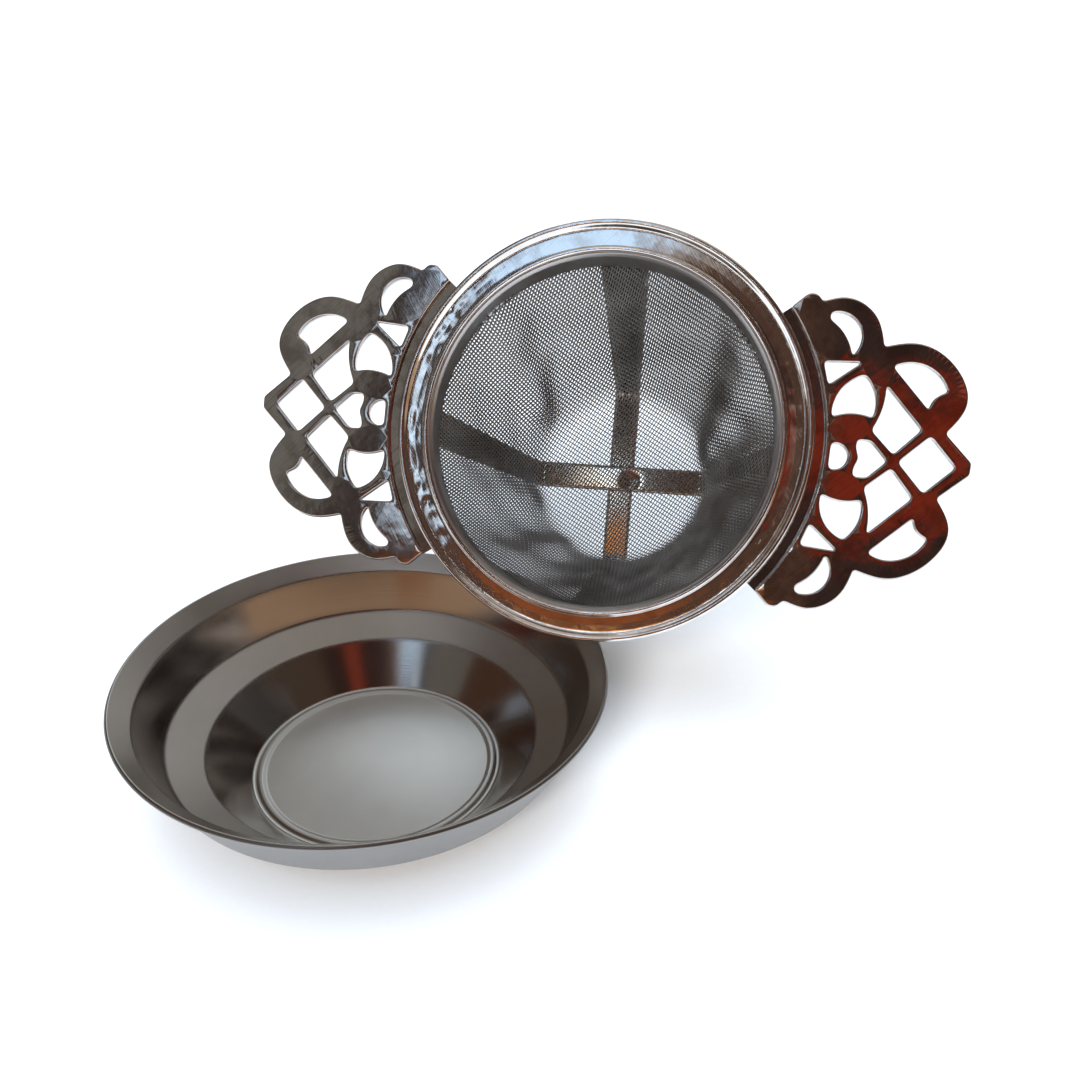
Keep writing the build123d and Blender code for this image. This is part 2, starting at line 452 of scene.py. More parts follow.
# %% [markdown]
# ## The bowl's satin
# The flat and sloping parts keep the satin of the rolled sheet, and the steep walls are burnished
# where they were drawn over the former, so they are shinier. Rings of fine tool marks run round
# everything. The distance from the axis says which part a point is on, so it sets the roughness.

# %% Satin steel
def new_recipe(name):
    material = bpy.data.materials.new(name)
    material.use_nodes = True
    return material, Recipe(material.node_tree)


def finish(recipe, base, roughness, normal, **constants):
    """Ends a recipe with a shader of full metal, unless the constants say otherwise."""
    sockets = {"Base Color": base, "Roughness": roughness, "Metallic": 1.0, "Normal": normal}
    shader = recipe.node("ShaderNodeBsdfPrincipled", None, {**sockets, **constants})
    recipe.node("ShaderNodeOutputMaterial", None, {"Surface": shader})


def radius_of(recipe, x, y):
    """How far a point is from the axis, in millimetres."""
    return x.maths("SQRT", x * x + y * y) * (1 / MM)


WELL_WALL, UPPER_WALL = (22.9, 29.6), (35.9, 38.9)
satin, recipe = new_recipe("satin_steel")
x, y, z = recipe.parts(recipe.place())
radius = radius_of(recipe, x, y)
marks = recipe.noise(recipe.vector(radius, z * 900, 0.0), 5.0, 4.0, 0.7)
cloud = recipe.noise(recipe.place(), 160.0, 4.0)
steep = radius.within(*WELL_WALL, 0.4) + radius.within(*UPPER_WALL, 0.4)
base = recipe.mix(cloud, (0.44, 0.425, 0.41, 1), (0.52, 0.505, 0.49, 1))
base = recipe.mix(steep, base, (0.50, 0.46, 0.43, 1))
rough = 0.27 + marks * 0.08 + cloud * 0.06 - steep * 0.19
finish(recipe, base, rough, recipe.bump(marks, 0.00001, 0.5), Anisotropic=0.35)

# %% [markdown]
# The outside is duller than the inside, and its colour is made darker as painted shade on the
# outside
# and underside. Both finishes go on the one mesh, and each face takes its own from the way it looks:
# away from the axis or down means outside.

# %% The bowl's outside
outside, recipe = new_recipe("outside_steel_painted_shade")
x, y, z = recipe.parts(recipe.place())
marks = recipe.noise(recipe.vector(radius_of(recipe, x, y), z * 900, 0.0), 5.0, 4.0, 0.7)
cloud = recipe.noise(recipe.place(), 160.0, 4.0)
# The darker base colours of the outside are painted shade.
base = recipe.mix(cloud, (0.25, 0.24, 0.235, 1), (0.32, 0.31, 0.30, 1))
finish(recipe, base, 0.36 + marks * 0.1, recipe.bump(marks, 0.00001, 0.5))
for steel in (satin, outside):
    bowl.data.materials.append(steel)
mark_outside(bowl)
settle(bowl, "bowl", "satin_steel", "drip_bowl")

# %% [markdown]
# ## The rim ring
# The ring is one pressed channel. Its outer edge is rolled over into a bead with a skirt, its
# flange dips slightly, and its inner edge rises in a second bead before it turns down into the
# neck that holds the basket.

# %% Ring section
RING_R = 37.5
RING_SECTION = [
    (31.9, -5.2, 0.1),
    (31.9, 0.45, 0.42),
    (32.75, 0.45, 0.4),
    (32.95, -0.16, 0.14),
    (34.4, -0.19, 2.0),
    (36.0, -0.15, 0.4),
    (36.6, 0.55, 0.6),
    (RING_R, 0.55, 0.6),
    (RING_R, -2.6, 0.3),
    (36.75, -2.6, 0.3),
    (36.75, -0.7, 0.3),
    (32.5, -0.75, 0.25),
    (32.5, -5.2, 0.1),
]


def with_steps(section, longest):
    """Adds points on the long straight runs of a closed section."""
    filled = []
    for i, (r, h) in enumerate(section):
        r2, h2 = section[(i + 1) % len(section)]
        count = max(1, math.ceil(math.hypot(r2 - r, h2 - h) / longest))
        filled += [(r + (r2 - r) * k / count, h + (h2 - h) * k / count) for k in range(count)]
    return filled


ring = turned("rim_ring_steel", with_steps(bent(RING_SECTION), 0.45), 540)
print("ring width, mm:", round(ring.dimensions.x / MM, 2))

# %% [markdown]
# ## Puckers in the flange
# Beside each ear the flange is puckered where the ear was spot welded to it from behind. The
# points of the mesh are moved there by smooth noise, which fades at the flange's edges. Each
# pucker has a middle and a reach, in degrees round the ring, and a depth.

# %% Weld dents in the flange
FLANGE_IN, FLANGE_OUT = 33.25, 35.75
NOISE_GAIN = 1.6
PUCKERED = [(150, 13, 0.09), (182, 11, 0.06), (206, 14, 0.05), (-28, 14, 0.05), (20, 12, 0.04)]
DENT_WIDTH = 2.3
dented = 0
for vertex in ring.data.vertices:
    x, y = vertex.co.x / MM, vertex.co.y / MM
    radius = math.hypot(x, y)
    if not (FLANGE_IN < radius < FLANGE_OUT and vertex.co.z > -0.5 * MM):
        continue
    turn_deg = math.degrees(math.atan2(y, x))
    rough_spot = noise.noise(Vector((x, y, 0)) / DENT_WIDTH)
    edge_fade = math.sin(math.pi * (radius - FLANGE_IN) / (FLANGE_OUT - FLANGE_IN))
    for middle_deg, reach_deg, depth in PUCKERED:
        off = ((turn_deg - middle_deg + 180) % 360 - 180) / reach_deg
        vertex.co.z += depth * MM * rough_spot * edge_fade * math.exp(-(off**2)) * NOISE_GAIN
    dented += 1
print("flange points puckered:", dented)

# %% [markdown]
# ## Polished steel
# The ring and ears were polished on a soft wheel, which leaves a surface like a slightly uneven
# mirror: broad waves from the wheel, hair scratches from use, and a film of tea and fingers that
# dulls it in patches. The waves are a weak bump, because a mirror shows the smallest slope.

# %% Polished steel
def polished(name, base, worn, streaks):
    """Wheel-polished steel. worn is its film's colour, and streaks how strongly it is lined."""
    material, recipe = new_recipe(name)
    place = recipe.place_on_ring()
    x, y, z = recipe.parts(place)
    film = recipe.noise(place, 170.0, 5.0, 0.6).step(0.42, 0.68)
    lines = recipe.noise(recipe.vector((x + y) * 90, (x - y) * 2600, z * 900), 1.0, 3.0, 0.6)
    crossing = recipe.vector((x * 0.7 - y) * 160, (x + y * 0.7) * 4200, z * 900)
    hair = recipe.noise(crossing, 1.0, 2.0, 0.7)
    waves = recipe.noise(place, 210.0, 2.0)
    colour = recipe.mix(film * 0.75, base, worn)
    colour = recipe.mix(lines.step(0.5, 0.75) * streaks, colour, worn)
    rough = 0.06 + film * 0.05 + hair.step(0.5, 0.8) * 0.06
    sockets = {"Height": hair, "Distance": 0.000006, "Normal": recipe.bump(waves, 0.0001, 0.45)}
    scratched = recipe.node("ShaderNodeBump", None, sockets)
    finish(recipe, colour, rough, scratched)
    return material


ring_finish = polished("polished_steel", (0.82, 0.80, 0.78, 1), (0.60, 0.54, 0.50, 1), 0.25)
ring.data.materials.append(ring_finish)
settle(ring, "strainer", "polished_steel", "rim_ring")

# %% [markdown]
# ## The clamp ring
# A thin band inside the neck pinches the edge of the wire cloth against it. It is the dull wall
# between the bright inner bead and the mesh.

# %% Clamp ring
CLAMP_SECTION = [
    (31.15, -5.2, 0.12),
    (31.15, -0.5, 0.4),
    (31.6, 0.05, 0.2),
    (31.93, 0.1, 0.05),
    (31.93, -0.8, 0.05),
    (31.5, -1.0, 0.2),
    (31.5, -5.2, 0.12),
]
clamp = turned("clamp_ring_steel", with_steps(bent(CLAMP_SECTION), 0.8), 240)
dull, recipe = new_recipe("dull_steel")
x, y, z = recipe.parts(recipe.place_on_ring())
rolled = recipe.noise(recipe.vector(x * 60, y * 60, z * 5000), 1.0, 3.0, 0.6)
stain = recipe.noise(recipe.place(), 240.0, 4.0)
base = recipe.mix(stain, (0.46, 0.43, 0.41, 1), (0.62, 0.60, 0.58, 1))
finish(recipe, base, 0.26 + rolled * 0.14, recipe.bump(rolled, 0.00001, 0.6))
clamp.data.materials.append(dull)
settle(clamp, "strainer", "dull_steel", "clamp_ring")

# %% [markdown]
# ## The shape of the basket
# The basket is a flat disc of wire cloth pushed into a cup. Distances along the disc are kept, so
# a point of the disc is found by walking the same distance down the cup's section: across the
# floor, round the fold, up the wall and into the hem. The disc is wider than the cup's mouth, so
# the spare cloth gathers into creases up the wall. Each crease is a ridge that leans inwards. Its
# row gives where it stands round the basket at the top and at the foot, how wide it is at each,
# all in degrees, then its depth and the walked distances where it starts and ends.

# %% Basket shape
FLOOR_R, WALL_TOP_R = 16.8, 31.7
FLOOR_HEIGHT, WALL_TOP_HEIGHT, HEM_TOP = -25.8, -5.2, -4.4
LEAN_X, LEAN_Y = 2.5, -4.6
FOLD = 2.4
RIPPLE_DEPTH = 0.22
CREASES = [
    (134, 149, 14.0, 9.0, 2.3, 19, 47),
    (98, 98, 12.0, 9.0, 0.5, 20, 42),
    (40, 18, 13.0, 9.0, 1.8, 17, 47),
    (6, 2, 9.0, 7.0, 0.8, 20, 43),
    (-20, -16, 8.0, 6.0, 0.9, 20, 42),
    (-36, -31, 3.4, 3.0, 0.55, 18, 43),
    (-45, -40, 3.4, 3.0, 0.6, 18, 43),
    (-54, -49, 3.4, 3.0, 0.6, 18, 43),
    (-63, -58, 3.6, 3.2, 0.5, 18, 41),
    (-100, -92, 12.0, 9.0, 0.5, 19, 40),
    (-126, -124, 10.0, 8.0, 1.5, 17, 44),
    (-160, -157, 12.0, 10.0, 1.7, 17, 46),
]
wall_run = math.hypot(WALL_TOP_R - FLOOR_R, WALL_TOP_HEIGHT - FLOOR_HEIGHT)
cloth_r = FLOOR_R + wall_run + HEM_TOP - WALL_TOP_HEIGHT


def smooth(low, high, value):
    t = np.clip((value - low) / (high - low), 0, 1)
    return t * t * (3 - 2 * t)


def basket_point(u, v):
    """Where a point of the flat disc ends up, in the strainer's own frame, in millimetres."""
    walked = np.hypot(u, v)
    turn = np.arctan2(v, u)
    slope = (WALL_TOP_R - FLOOR_R) / wall_run, (WALL_TOP_HEIGHT - FLOOR_HEIGHT) / wall_run
    past = np.clip(walked - FLOOR_R, 0, wall_run)
    eased = np.where(walked < FLOOR_R, 0, past)
    near = np.abs(walked - FLOOR_R) < FOLD
    eased = np.where(near, (walked - FLOOR_R + FOLD) ** 2 / (4 * FOLD), eased)
    flat = np.where(near, walked - eased, np.minimum(walked, FLOOR_R))
    radius = flat + eased * slope[0]
    height = FLOOR_HEIGHT + eased * slope[1] + np.maximum(walked - FLOOR_R - wall_run, 0)
    inwards = np.zeros_like(walked)
    for top_deg, foot_deg, top_width, foot_width, depth, start, end in CREASES:
        along = np.clip((walked - start) / (end - start), 0, 1)
        middle = np.radians(foot_deg + (top_deg - foot_deg) * along)
        width = foot_width + (top_width - foot_width) * along
        off = np.degrees(np.angle(np.exp(1j * (turn - middle)))) / width
        rise = smooth(start - 2, start + 6, walked) * (1 - smooth(end - 9, end, walked))
        inwards += depth * rise * np.exp(-off * off)
    ripple = np.sin(turn * 9 + walked * 0.3) * np.sin(walked * 0.35 + turn * 3)
    wall_only = smooth(18, 27, walked) * (1 - smooth(33, 42, walked))
    inwards += RIPPLE_DEPTH * (1 + ripple) * wall_only
    leaning = (WALL_TOP_HEIGHT - height) / (WALL_TOP_HEIGHT - FLOOR_HEIGHT)
    leaning = np.clip(leaning, 0, 1)
    x = (radius - inwards * slope[1]) * np.cos(turn) + LEAN_X * leaning
    y = (radius - inwards * slope[1]) * np.sin(turn) + LEAN_Y * leaning
    return np.stack([x, y, height + inwards * slope[0]], axis=-1)


print("cloth disc radius, mm:", round(cloth_r, 1))

# %% [markdown]
# ## The wire cloth
# The cloth is plain weave: each wire goes over one and under the next. The wires lie closer one
# way than the other. Every crossing is one ring of three points on each of its two wires, pushed
# up or down along the cloth's normal, so the weave is real geometry and what is behind shows
# through it. The wire is made thinner on the floor and low on the wall, to let more light through.

# %% Weaving
FLOOR_WIRE_R, WALL_WIRE_R, WEAVE_LIFT = 0.125, 0.20, 0.11
CLOSE_PITCH, OPEN_PITCH = 0.57, 0.80
WEAVE_TURN = math.radians(64)
FLOOR_ENDS, WALL_STARTS = 14.5, 19
LOWEST_WALL_THINNING = 0.55
SIDES = 3


def band(a, b, count):
    """The faces between two closed rings of count points that start at a and at b."""
    return [(a + k, a + (k + 1) % count, b + (k + 1) % count, b + k) for k in range(count)]


def wire_family(along_turn, apart, step, odd):
    """All wires that run one way: lists of vertices and faces."""
    way = np.array([math.cos(along_turn), math.sin(along_turn)])
    across = np.array([way[1], -way[0]])
    vertices, faces = [], []
    reach = int(cloth_r / apart)
    for i in range(-reach, reach + 1):
        half = math.sqrt(max(cloth_r**2 - (i * apart) ** 2, 0))
        j = np.arange(-int(half / step), int(half / step) + 1)
        if len(j) < 3:
            continue
        flat = i * apart * across + j[:, None] * step * way
        u, v = flat[:, 0], flat[:, 1]
        here = basket_point(u, v)
        tangent = np.gradient(here, axis=0)
        tangent /= np.linalg.norm(tangent, axis=1)[:, None]
        side = basket_point(u + across[0] * 0.05, v + across[1] * 0.05) - here
        normal = np.cross(side, tangent)
        normal /= np.linalg.norm(normal, axis=1)[:, None]
        edge = np.cross(tangent, normal)
        over = np.where((i + j + odd) % 2 == 0, WEAVE_LIFT, -WEAVE_LIFT)[:, None]
        walked = np.hypot(u, v)
        low = np.clip(-v / np.maximum(walked, 1), 0, 1) ** 2
        on_wall = smooth(FLOOR_ENDS, WALL_STARTS, walked) * (1 - LOWEST_WALL_THINNING * low)
        wire_r = FLOOR_WIRE_R + (WALL_WIRE_R - FLOOR_WIRE_R) * on_wall[:, None]
        first = len(vertices)
        rings = []
        for k in range(SIDES):
            a = 2 * math.pi * k / SIDES
            lifted = here + normal * (over + wire_r * math.cos(a))
            rings.append(lifted + edge * wire_r * math.sin(a))
        vertices += np.stack(rings, axis=1).reshape(-1, 3).tolist()
        for n in range(len(j) - 1):
            faces += band(first + n * SIDES, first + (n + 1) * SIDES, SIDES)
        last = first + (len(j) - 1) * SIDES
        faces += [(first, first + 2, first + 1), (last, last + 1, last + 2)]
    return vertices, faces


warp = wire_family(WEAVE_TURN, CLOSE_PITCH, OPEN_PITCH, 0)
weft = wire_family(WEAVE_TURN - math.pi / 2, OPEN_PITCH, CLOSE_PITCH, 1)
count = len(warp[0])
points = [(x * MM, y * MM, z * MM) for x, y, z in warp[0] + weft[0]]
weft_faces = [tuple(k + count for k in face) for face in weft[1]]
basket = mesh_object("wire_basket", points, warp[1] + weft_faces)
print("wire cloth:", len(points), "points, about", 2 * len(basket.data.polygons), "triangles")

# %% [markdown]
# ## The wire's steel
# Drawn wire is less bright than polished sheet, and tea has browned it. The wall's wire is painted
# darker than the floor's as painted shade, so the height above the floor sets how dark the wire is.

# %% Wire steel
wire_steel, recipe = new_recipe("wire_steel")
drawn = recipe.noise(recipe.place(), 2600.0, 2.0)
patchy = recipe.noise(recipe.place(), 130.0, 4.0)
x, y, z = recipe.parts(recipe.place_on_ring())
painted_shade_up_the_wall = z.step((FLOOR_HEIGHT + 1) * MM, (FLOOR_HEIGHT + 9) * MM)
on_floor = recipe.mix(patchy, (0.29, 0.275, 0.265, 1), (0.34, 0.33, 0.325, 1))
# The wall's darker wire colours are painted shade.
on_wall = recipe.mix(patchy.step(0.35, 0.7), (0.17, 0.155, 0.145, 1), (0.27, 0.26, 0.25, 1))
base = recipe.mix(painted_shade_up_the_wall, on_floor, on_wall)
tarnished = {"Specular Tint": (0.45, 0.42, 0.40, 1), "Metallic": 0.88}
finish(recipe, base, 0.26 + drawn * 0.12, recipe.bump(drawn, 0.00002, 0.4), **tarnished)
basket.data.materials.append(wire_steel)
settle(basket, "strainer", "wire_cloth", "mesh_basket")

# %% [markdown]
# ## The support straps
# Two strips of rolled steel cross under the basket's floor and run up its walls to the ring. They
# carry the cloth, which is too thin to carry wet leaves. A strap is drawn as a path with a width:
# straight runs joined by a curved fold. Its long edges are chamfered, and the small dimple beside
# the crossing is where a welding tip pressed.

# %% Straps
STRAP_THICK, STRAP_FLOOR_WIDTH = 0.5, 5.2
STRAP_GAP, CROSS_TURN = 0.15, 2.0
STRAP_HEAD = (35.0, -3.0)
FOLD_R, FOLD_REACH, BASKET_DEPTH = 17.5, 1.2, 26.0
EDGE_CHAMFER = 0.3


def strap_path(turn_deg, layer, top_width):
    """Points down the middle of a strap, each with its width and its width's direction."""
    height = -BASKET_DEPTH - STRAP_GAP - (layer + 0.5) * STRAP_THICK
    fold, end = math.radians(turn_deg + CROSS_TURN), math.radians(turn_deg)
    lean = Vector((LEAN_X, LEAN_Y, height))
    floor_way = Vector((math.cos(fold), math.sin(fold), 0))
    top_way = Vector((math.cos(end), math.sin(end), 0))
    path = []
    for side in (-1, 1):
        foot = lean + floor_way * FOLD_R * side
        head = top_way * STRAP_HEAD[0] * side + Vector((0, 0, STRAP_HEAD[1]))
        arm = (head - foot).normalized()
        run = []
        for k in range(41):
            run.append((lean + floor_way * side * (FOLD_R - FOLD_REACH) * k / 40, 0.0))
        for k in range(1, 6):
            t = k / 6
            start, stop = foot - floor_way * side * FOLD_REACH, foot + arm * FOLD_REACH
            run.append((start * (1 - t) ** 2 + foot * 2 * t * (1 - t) + stop * t * t, 0.0))
        for k in range(13):
            share = k / 12
            bent_in = arm * FOLD_REACH
            run.append((foot + bent_in + (head - foot - bent_in) * share, share))
        path += run[::-1] if side < 0 else run[1:]
    crosswise = Vector((0, 0, 1)).cross(floor_way), Vector((0, 0, 1)).cross(top_way)
    growth = top_width - STRAP_FLOOR_WIDTH
    return [(p, STRAP_FLOOR_WIDTH + growth * s, crosswise[0].lerp(crosswise[1], s)) for p, s in path]


def strap(name, turn_deg, layer, top_width, dimples=()):
    """A strip with chamfered edges along a strap path, with dimples pressed into its top."""
    path = strap_path(turn_deg, layer, top_width)
    half = STRAP_THICK / 2
    across = [k / 10 - 0.5 for k in range(11)]
    vertices, faces = [], []
    ring_count = 2 * len(across) + 2
    for i, (point, width, crosswise) in enumerate(path):
        along = (path[min(i + 1, len(path) - 1)][0] - path[max(i - 1, 0)][0]).normalized()
        upward = along.cross(crosswise).normalized()
        upward = upward if upward.z > 0 else -upward
        edge = width - EDGE_CHAMFER
        for side, row in ((1, across), (-1, across[::-1])):
            for share in row:
                spot = point + crosswise * share * edge
                sunk = 0.0
                for x, y, reach, depth in dimples:
                    away = math.hypot(spot.x - LEAN_X - x, spot.y - LEAN_Y - y) / reach
                    sunk += depth * math.exp(-(away**2)) if side > 0 else 0
                vertices.append((spot + upward * (half * side - sunk)) * MM)
            vertices.append((point + crosswise * width / 2 * side) * MM)
    for i in range(len(path) - 1):
        faces += band(i * ring_count, (i + 1) * ring_count, ring_count)
    faces += [tuple(range(ring_count)), tuple(range(len(vertices) - ring_count, len(vertices)))]
    made = mesh_object(name, vertices, faces)
    tidy_normals(made, 60)
    return made


wide = strap("side_to_side_strip", 0, 0, 7.2, [(2.0, -0.3, 1.3, 0.22)])
under = strap("top_to_bottom_strip", 90, 1, 9.8)
print("strap length across, mm:", round(wide.dimensions.x / MM, 1))

# %% [markdown]
# ## The strap's steel
# The straps keep the bright rolled skin of the strip they were cut from, with a straw-brown heat
# tint in patches from the welding.

# %% Strap steel
strap_steel, recipe = new_recipe("strap_steel")
x, y, z = recipe.parts(recipe.place_on_ring())
rolled = recipe.noise(recipe.vector(x * 120, y * 120, z * 300), 3.0, 4.0, 0.65)
heat = recipe.noise(recipe.place(), 150.0, 4.0).step(0.4, 0.7)
base = recipe.mix(heat, (0.58, 0.54, 0.50, 1), (0.52, 0.38, 0.27, 1))
finish(recipe, base, 0.07 + rolled * 0.07, recipe.bump(rolled, 0.00001, 0.25))
for strip, node in ((wide, "side_to_side_strap"), (under, "top_to_bottom_strap")):
    strip.data.materials.append(strap_steel)
    settle(strip, "strainer", "strap_steel", node)

# %% [markdown]
# ## The weld
# One spot weld holds the two straps together where they cross. From below it shows as a small
# flattened dome with a faint rim.

# %% Weld nugget
WELD_TOP = -BASKET_DEPTH - STRAP_GAP - 2 * STRAP_THICK
WELD_DOME = [
    (0, 0.02),
    (1.28, 0.02),
    (1.24, -0.06),
    (1.0, -0.1),
    (0.8, -0.16),
    (0.5, -0.19),
    (0, -0.2),
]
nugget = turned("strap_weld_nugget", WELD_DOME, 48)
nugget.data.transform(Matrix.Translation(Vector((LEAN_X, LEAN_Y, WELD_TOP)) * MM))
weld_steel = dull.copy()
weld_steel.name = "weld_steel"
nugget.data.materials.append(weld_steel)
settle(nugget, "strainer", "dull_steel", "strap_weld")

# %% [markdown]
# ## The ears
# Each ear is stamped from plate with a lace of openings, and its edges are rounded by tumbling.
# The stamp is drawn as closed lines: one outline, and one line for each opening, from straight
# runs, arcs and flowing curves. Corners are softened, by averaging each point with its neighbours
# along the line.

# %% Lines and arcs of the stamp
EAR_THICK, EDGE_ROUND, EDGE_STEPS = 1.3, 0.34, 4
LINE_STEP = 0.16


def straight(*points):
    return [Vector(p) for p in points]


def arc(start, via, end):
    """Points on the circle through three points."""
    (ax, ay), (bx, by), (cx, cy) = start, via, end
    d = 2 * (ax * (by - cy) + bx * (cy - ay) + cx * (ay - by))
    a2, b2, c2 = ax * ax + ay * ay, bx * bx + by * by, cx * cx + cy * cy
    middle_x = (a2 * (by - cy) + b2 * (cy - ay) + c2 * (ay - by)) / d
    middle_y = (a2 * (cx - bx) + b2 * (ax - cx) + c2 * (bx - ax)) / d
    middle = Vector((middle_x, middle_y))
    radius = (Vector(start) - middle).length
    turns = [math.atan2(p[1] - middle.y, p[0] - middle.x) for p in (start, via, end)]
    sweep = (turns[2] - turns[0]) % (2 * math.pi)
    if (turns[1] - turns[0]) % (2 * math.pi) > sweep:
        sweep -= 2 * math.pi
    steps = [turns[0] + sweep * k / 24 for k in range(25)]
    return [middle + Vector((math.cos(a), math.sin(a))) * radius for a in steps]


def flowing(*points):
    """A natural cubic curve through the points."""
    p = np.array(points, float)
    t = np.concatenate([[0], np.cumsum(np.linalg.norm(np.diff(p, axis=0), axis=1))])
    n, h = len(p), np.diff(t)
    system, right_side = np.eye(n), np.zeros((n, 2))
    for i in range(1, n - 1):
        system[i, i - 1 : i + 2] = h[i - 1], 2 * (h[i - 1] + h[i]), h[i]
        right_side[i] = 6 * ((p[i + 1] - p[i]) / h[i] - (p[i] - p[i - 1]) / h[i - 1])
    bend = np.linalg.solve(system, right_side)
    made = []
    for s in np.linspace(0, t[-1], 60):
        i = min(np.searchsorted(t, s, "right") - 1, n - 2)
        a, b = t[i + 1] - s, s - t[i]
        spot = (bend[i] * a**3 + bend[i + 1] * b**3) / (6 * h[i])
        spot += (p[i] / h[i] - bend[i] * h[i] / 6) * a
        spot += (p[i + 1] / h[i] - bend[i + 1] * h[i] / 6) * b
        made.append(Vector(spot))
    return made


def softened(loop, reach=0.42):
    """An evenly stepped closed line whose corners are rounded by averaging over a reach."""
    p = np.array(loop + loop[:1], float)
    t = np.concatenate([[0], np.cumsum(np.linalg.norm(np.diff(p, axis=0), axis=1))])
    count = max(24, round(t[-1] / LINE_STEP))
    s = np.linspace(0, t[-1], count, endpoint=False)
    line = np.stack([np.interp(s, t, p[:, 0]), np.interp(s, t, p[:, 1])], axis=1)
    span = max(1, round(reach / LINE_STEP))
    for _ in range(2):
        line = sum(np.roll(line, k, axis=0) for k in range(-span, span + 1)) / (2 * span + 1)
    return line[::2]


# %% [markdown]
# ### The openings
# The lace is the same above and below the ear's middle line, so the upper openings are listed and
# the lower ones are the same lines flipped. Only the diamond, the heart and the small hole by the
# ring lie on the middle line itself.

# %% Openings of one ear
UPPER_OPENINGS = [
    straight((49.2, 16.1), (56.0, 9.4))
    + arc((56.0, 9.4), (56.9, 11.6), (58.8, 12.6))
    + arc((58.8, 12.6), (55.1, 16.4), (49.2, 16.1)),
    arc((37.5, 24.2), (42.6, 22.3), (42.0, 17.4)) + arc((42.0, 17.4), (40.2, 21.0), (37.5, 23.2)),
    straight((37.4, 15.9), (43.7, 16.3), (38.6, 12.2)),
    arc((44.6, 14.2), (41.2, 11.8), (39.9, 6.8))
    + arc((39.9, 6.8), (43.2, 7.7), (46.8, 7.2))
    + arc((46.8, 7.2), (46.7, 11.0), (44.6, 14.2)),
    straight((48.5, 12.7), (55.3, 5.9), (51.1, 1.3)) + arc((47.0, 5.0), (48.3, 8.6), (48.5, 12.7)),
]
MIDDLE_OPENINGS = [
    straight((57.0, 4.8), (61.8, 0), (57.0, -4.8), (52.2, 0)),
    straight((50.2, 0), (47.1, 3.1), (44.8, 3.1), (44.8, 1.8))
    + straight((45.5, 0), (44.8, -1.8), (44.8, -3.1), (47.1, -3.1)),
    arc((40.5, 2.1), (43.5, 0), (40.5, -2.1)),
]


def flipped(line):
    return [Vector((p[0], -p[1])) for p in line][::-1]


openings = UPPER_OPENINGS + [flipped(line) for line in UPPER_OPENINGS] + MIDDLE_OPENINGS
print("openings in an ear:", len(openings))

# %% [markdown]
# ### The outline
# Going round from the tip: a pointed end, a large lobe, a small lobe, and a tab that reaches along
# the ring. The inner side is an arc just clear of the ring's skirt.

# %% Outline of one ear
PLATE_INNER_R, ROOT_HALF = 39.4, 39.0
tab_turn = math.radians(ROOT_HALF)
tab = PLATE_INNER_R * math.cos(tab_turn), PLATE_INNER_R * math.sin(tab_turn)
upper_outline = (
    straight((64.4, 1.1), (59.5, 5.6))
    + flowing((59.5, 5.6), (62.3, 10.8), (58.9, 17.6), (52.6, 20.4), (47.2, 19.4))
    + flowing((47.2, 19.4), (45.3, 24.2), (40.0, 27.1), (35.8, 26.2))
    + flowing((35.8, 26.2), (34.7, 27.3), (33.2, 27.3))
)
outline = upper_outline + arc(tab, (PLATE_INNER_R, 0), (tab[0], -tab[1])) + flipped(upper_outline)
print("points in the outline before softening:", len(outline))

# %% [markdown]
# ### From lines to a plate
# Every line becomes the plate's edge there: a stack of rings that curve in at the top and at the
# foot, which gives the tumbled edge. The top face is then a triangulation between all the top
# rings. A triangle belongs to the metal when a ray from its middle crosses the lines an odd number
# of times. The same triangles, turned over, close the foot.

# %% From lines to a plate
def into_plate(line, is_outline):
    """Which way the plate's metal lies from each point of a closed line."""
    along = np.roll(line, -1, axis=0) - np.roll(line, 1, axis=0)
    along /= np.linalg.norm(along, axis=1)[:, None]
    after = np.roll(line, -1, axis=0)
    turns_left = np.sum(line[:, 0] * after[:, 1] - line[:, 1] * after[:, 0]) > 0
    return np.stack([-along[:, 1], along[:, 0]], axis=1) * (1 if turns_left == is_outline else -1)


def in_metal(spots, lines):
    """Whether each spot has an odd number of lines' edges to its right."""
    crossed = np.zeros(len(spots), int)
    for line in lines:
        after = np.roll(line, -1, axis=0)
        for (x0, y0), (x1, y1) in zip(line, after):
            if y0 != y1:
                spans = (spots[:, 1] > min(y0, y1)) & (spots[:, 1] <= max(y0, y1))
                crossed += spans & (x0 + (spots[:, 1] - y0) * (x1 - x0) / (y1 - y0) > spots[:, 0])
    return crossed % 2 == 1


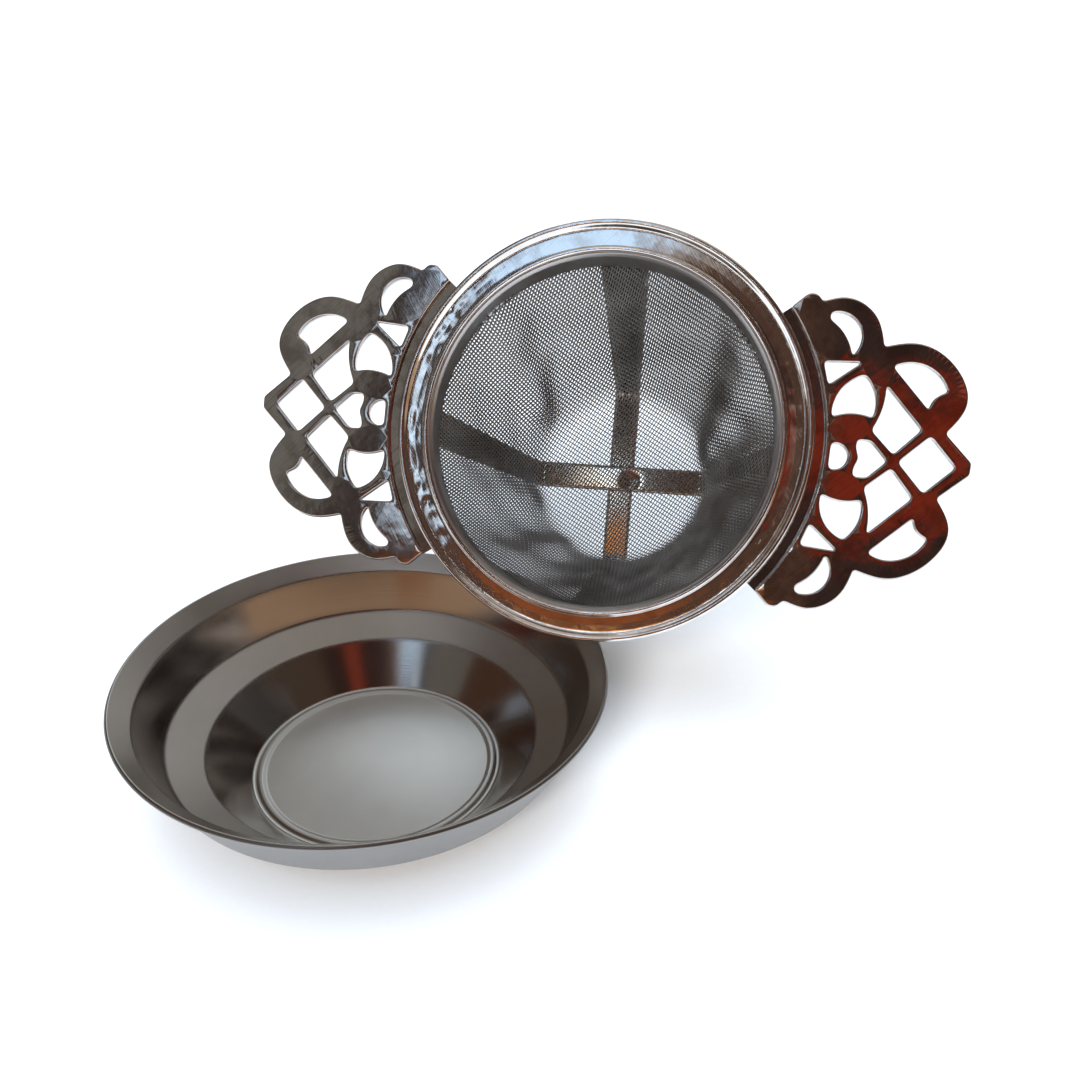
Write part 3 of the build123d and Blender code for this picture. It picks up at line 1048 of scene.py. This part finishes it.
def ear_plate():
    """The pierced plate's vertices and faces, flat, with its top at height 0."""
    quarter = [math.radians(90 * k / EDGE_STEPS) for k in range(EDGE_STEPS + 1)]
    edge = [(EDGE_ROUND * (1 - math.sin(a)), EDGE_ROUND * (math.cos(a) - 1)) for a in quarter]
    edge += [(inset, -EAR_THICK - drop) for inset, drop in edge[::-1]]
    lines = [softened(outline, 0.3), *(softened(o) for o in openings)]
    vertices, faces, tops, rims, top_lines, to_foot = [], [], [], [], [], {}
    for i, line in enumerate(lines):
        inwards, first, n = into_plate(line, i == 0), len(vertices), len(line)
        for inset, drop in edge:
            moved = line + inwards * inset
            vertices += [(x * MM, y * MM, drop * MM) for x, y in moved]
        rims += [(first + k, first + (k + 1) % n) for k in range(n)]
        tops += range(first, first + n)
        top_lines.append(line + inwards * edge[0][0])
        to_foot |= {k: k + (len(edge) - 1) * n for k in range(first, first + n)}
        for level in range(len(edge) - 1):
            faces += band(first + level * n, first + (level + 1) * n, n)
    place_of = {k: i for i, k in enumerate(tops)}
    flat = [Vector((vertices[k][0] / MM, vertices[k][1] / MM)) for k in tops]
    borders = [(place_of[a], place_of[b]) for a, b in rims]
    spots, _, triangles, sources, *_ = delaunay_2d_cdt(flat, borders, [], 1, 1e-6)
    corners = np.array([[spots[k] for k in face] for face in triangles])
    keep = in_metal(corners.mean(axis=1), top_lines)
    for face in (f for f, inside in zip(triangles, keep) if inside):
        top = [tops[sources[k][0]] for k in face]
        faces += [tuple(top), tuple(to_foot[k] for k in top[::-1])]
    return vertices, faces


# %% [markdown]
# A narrow strip at the ear's root bends down from the plate to the ring's skirt. It is turned like
# the ring, but only over the ear's width, and is joined to the plate as one piece. The plate droops
# a little towards its tip. The left ear is the same piece seen in a mirror.

# %% Ears
ROOT_SECTION = [(RING_R, -2.3, 0.2), (RING_R, -0.45, 0.2), (40.2, -0.75, 0.2), (40.3, -1.3, 0.2)]
DROOP, DROOP_FROM = 0.02, 40


def ear(name, mirror):
    root = turned(name + "_root", bent(ROOT_SECTION), 96, (-ROOT_HALF, ROOT_HALF))
    plate = mesh_object(name + "_plate", *ear_plate())
    shape = bmesh.new()
    for part in (plate, root):
        shape.from_mesh(part.data)
        bpy.data.objects.remove(part)
    for corner in shape.verts:
        corner.co.z -= max(corner.co.x - DROOP_FROM * MM, 0) * DROOP
    if mirror:
        bmesh.ops.transform(shape, matrix=Matrix.Scale(-1, 4, (1, 0, 0)), verts=shape.verts)
    mesh = bpy.data.meshes.new(name)
    shape.to_mesh(mesh)
    shape.free()
    made = bpy.data.objects.new(name, mesh)
    bpy.context.scene.collection.objects.link(made)
    tidy_normals(made)
    return made


ear_finish = polished("ear_steel", (0.72, 0.69, 0.67, 1), (0.40, 0.34, 0.31, 1), 0.6)
for node, mirror in (("right_ear", False), ("left_ear", True)):
    made = ear(node + "_plate", mirror)
    made.data.materials.append(ear_finish)
    settle(made, "strainer", "polished_steel", node)

# %% [markdown]
# ## Sizes
# Both boxes, of the CAD model and of the looks, are printed.

# %% Sizes
looks_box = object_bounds()
boxes = {
    "cad": [list(map(float, corner)) for corner in cad_box],
    "visual": [list(map(float, corner)) for corner in looks_box],
}
for name, corners in boxes.items():
    print(name, "box, mm:", [[round(v / MM, 2) for v in corner] for corner in corners])
